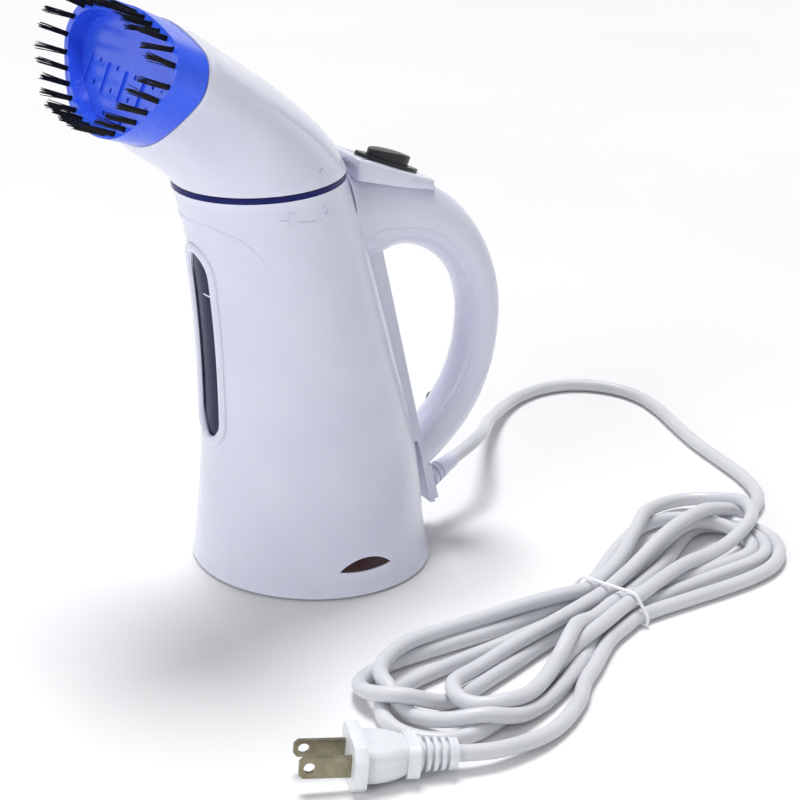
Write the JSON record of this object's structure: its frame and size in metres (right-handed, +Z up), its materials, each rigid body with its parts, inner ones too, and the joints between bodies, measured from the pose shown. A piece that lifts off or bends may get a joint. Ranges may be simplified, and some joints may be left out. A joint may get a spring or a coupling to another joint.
{
  "type": "handheld garment steamer",
  "caption": "Handheld garment steamer: leaning tank body with a loop handle, twist-off angled steam head, slip-on bristle brush, push switch and corded plug.",
  "frame": {"origin": "centre of the round pad's underside, on the surface the steamer stands on", "axes": "+Z up, nozzle towards -X, handle towards +X, the body mirrors in the plane y = 0"},
  "size_m": [0.3355, 0.2958, 0.2366],
  "materials": {
    "housing_white": "gloss white",
    "window_smoke": "smoked clear plastic",
    "lens_red": "dark red clear plastic",
    "lamp_glass": "clear",
    "tank_navy": "gloss",
    "rubber_grey": "matt",
    "steel": "satin",
    "screw_steel": "zinc",
    "part_black": "satin",
    "brush_blue": "gloss blue",
    "bristle_black": "nylon",
    "cord_white": "soft vinyl",
    "tie_white": "satin",
    "blade_metal": "nickel-plated brass"
  },
  "bodies": {
    "body": {"body_shell": "housing_white", "window_pane": "window_smoke", "indicator_lens": "lens_red", "indicator_lamp": "lamp_glass", "water_tank": "tank_navy", "element_seal": "rubber_grey", "heater_plate": "steel", "heating_element": "steel", "heater_screws": "screw_steel", "thermostat": "part_black", "thermal_fuse": "steel", "base_plate": "housing_white", "base_pad": "rubber_grey", "base_screws": "screw_steel", "handle_left": "housing_white", "handle_right": "housing_white", "grip_panel": "housing_white", "handle_screws": "screw_steel", "switch_cover": "housing_white", "switch_bezel": "part_black", "switch_body": "part_black", "wire_leads": "cord_white", "cord_relief": "cord_white", "power_cord": "cord_white", "cord_hank": "cord_white", "plug_lead": "cord_white", "cord_tie": "tie_white", "plug_body": "cord_white", "plug_relief": "cord_white", "plug_blades": "blade_metal"},
    "head": {"head_shell": "housing_white", "lock_ring": "housing_white", "head_gasket": "rubber_grey", "steam_baffle": "housing_white", "nozzle_grille": "housing_white"},
    "brush": {"brush_frame": "brush_blue", "bristle_tufts": "bristle_black"},
    "button": {"switch_button": "part_black", "switch_plunger": "part_black"}
  },
  "joints": [
    {"name": "head_twist", "type": "hinge", "parent": "body", "child": "head", "pos_m": [-0.0261, 0, 0.1634], "axis": [0.0645, 0, -0.9979], "range_deg": [0, 30]},
    {"name": "brush_pull", "type": "slide", "parent": "head", "child": "brush", "axis": [-0.9336, 0, 0.3584], "range_m": [0, 0.016]},
    {"name": "switch_press", "type": "slide", "parent": "body", "child": "button", "axis": [-0.342, 0, -0.9397], "range_m": [0, 0.002], "stiffness_N_per_m": 400, "springref_m": -0.001}
  ]
}
